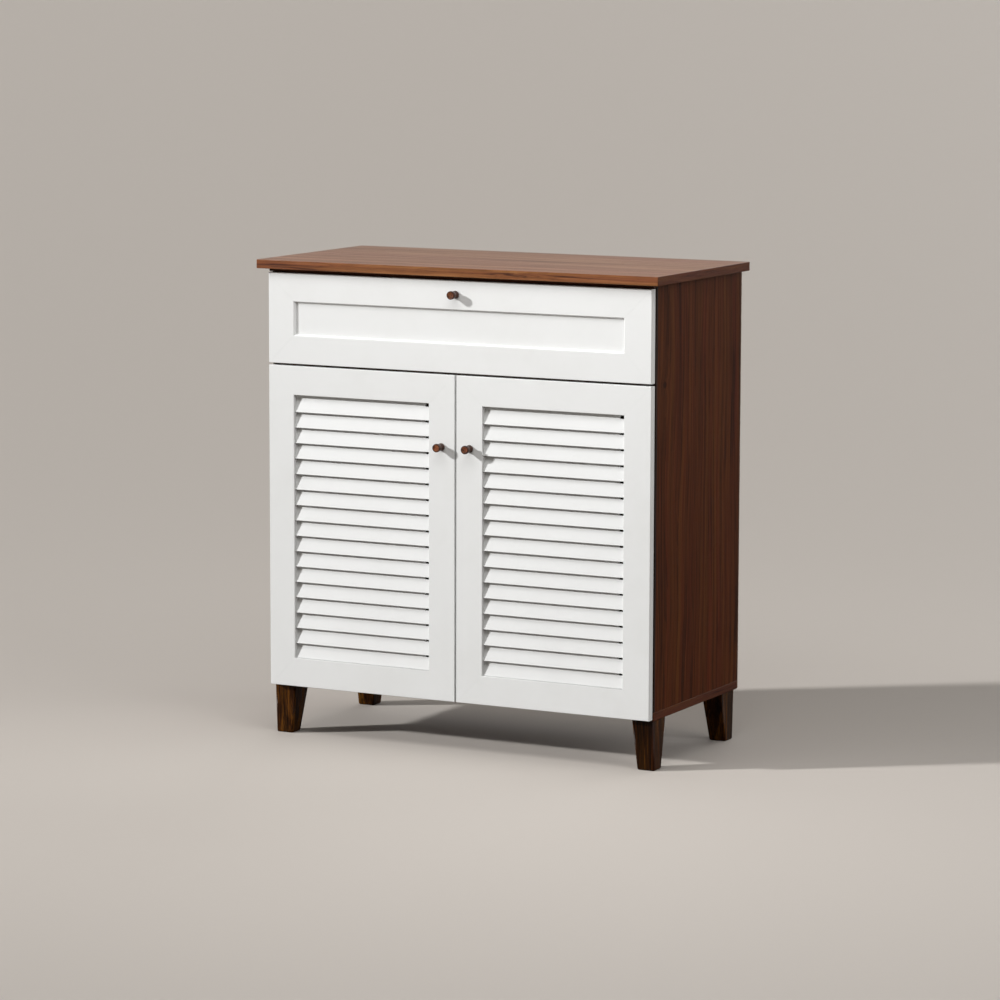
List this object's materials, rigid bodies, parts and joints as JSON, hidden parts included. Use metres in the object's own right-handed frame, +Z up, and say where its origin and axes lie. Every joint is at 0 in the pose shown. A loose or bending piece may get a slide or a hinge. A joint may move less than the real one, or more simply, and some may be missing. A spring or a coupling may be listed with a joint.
{
  "type": "shoe cabinet",
  "caption": "Low boarded shoe cabinet on tapered legs, with a panelled drawer above a pair of louvred doors and adjustable shelves inside.",
  "frame": {"origin": "on the floor, at the middle of the overall width and depth, knobs included", "axes": "+Z up, +X to the right along the front, +Y from the front to the back"},
  "size_m": [0.8, 0.397, 0.87],
  "materials": {
    "walnut_board": "walnut-look laminate, satin",
    "white_board": "white foil, satin",
    "leg_wood": "dark stained solid wood, satin",
    "knob_wood": "stained turned wood, satin",
    "hardboard": "brown hardboard, matt",
    "steel": "nickel plated"
  },
  "bodies": {
    "case": {"back_left_leg": "leg_wood", "back_panel": "hardboard", "back_rail": "walnut_board", "back_right_leg": "leg_wood", "bottom_panel": "walnut_board", "divider_panel": "walnut_board", "front_left_leg": "leg_wood", "front_rail": "walnut_board", "front_right_leg": "leg_wood", "left_door_lower_hinge_arm": "steel", "left_door_upper_hinge_arm": "steel", "lower_shelf": "walnut_board", "lower_shelf_pin_left_back": "steel", "lower_shelf_pin_left_front": "steel", "lower_shelf_pin_right_back": "steel", "lower_shelf_pin_right_front": "steel", "right_door_lower_hinge_arm": "steel", "right_door_upper_hinge_arm": "steel", "side_panel_left": "walnut_board", "side_panel_right": "walnut_board", "slide_rail_left": "steel", "slide_rail_right": "steel", "tabletop": "walnut_board", "top_strip": "walnut_board", "upper_shelf": "walnut_board", "upper_shelf_pin_left_back": "steel", "upper_shelf_pin_left_front": "steel", "upper_shelf_pin_right_back": "steel", "upper_shelf_pin_right_front": "steel"},
    "drawer": {"drawer_back": "walnut_board", "drawer_bottom": "hardboard", "drawer_front_bottom_rail": "white_board", "drawer_front_left_stile": "white_board", "drawer_front_panel": "white_board", "drawer_front_right_stile": "white_board", "drawer_front_top_rail": "white_board", "drawer_knob": "knob_wood", "drawer_knob_screw": "steel", "drawer_runner_left": "steel", "drawer_runner_right": "steel", "drawer_side_left": "walnut_board", "drawer_side_right": "walnut_board"},
    "left_door": {"left_door_bottom_rail": "white_board", "left_door_knob": "knob_wood", "left_door_knob_screw": "steel", "left_door_left_stile": "white_board", "left_door_louvres": "white_board", "left_door_lower_hinge_cup": "steel", "left_door_right_stile": "white_board", "left_door_top_rail": "white_board", "left_door_upper_hinge_cup": "steel"},
    "right_door": {"right_door_bottom_rail": "white_board", "right_door_knob": "knob_wood", "right_door_knob_screw": "steel", "right_door_left_stile": "white_board", "right_door_louvres": "white_board", "right_door_lower_hinge_cup": "steel", "right_door_right_stile": "white_board", "right_door_top_rail": "white_board", "right_door_upper_hinge_cup": "steel"}
  },
  "joints": [
    {"name": "drawer_slide", "type": "slide", "parent": "case", "child": "drawer", "axis": [0, -1, 0], "range_m": [0, 0.23]},
    {"name": "left_door_hinge", "type": "hinge", "parent": "case", "child": "left_door", "pos_m": [-0.3825, -0.1635, 0.386], "axis": [0, 0, -1], "range_deg": [0, 105]},
    {"name": "right_door_hinge", "type": "hinge", "parent": "case", "child": "right_door", "pos_m": [0.3825, -0.1635, 0.386], "axis": [0, 0, 1], "range_deg": [0, 105]}
  ]
}
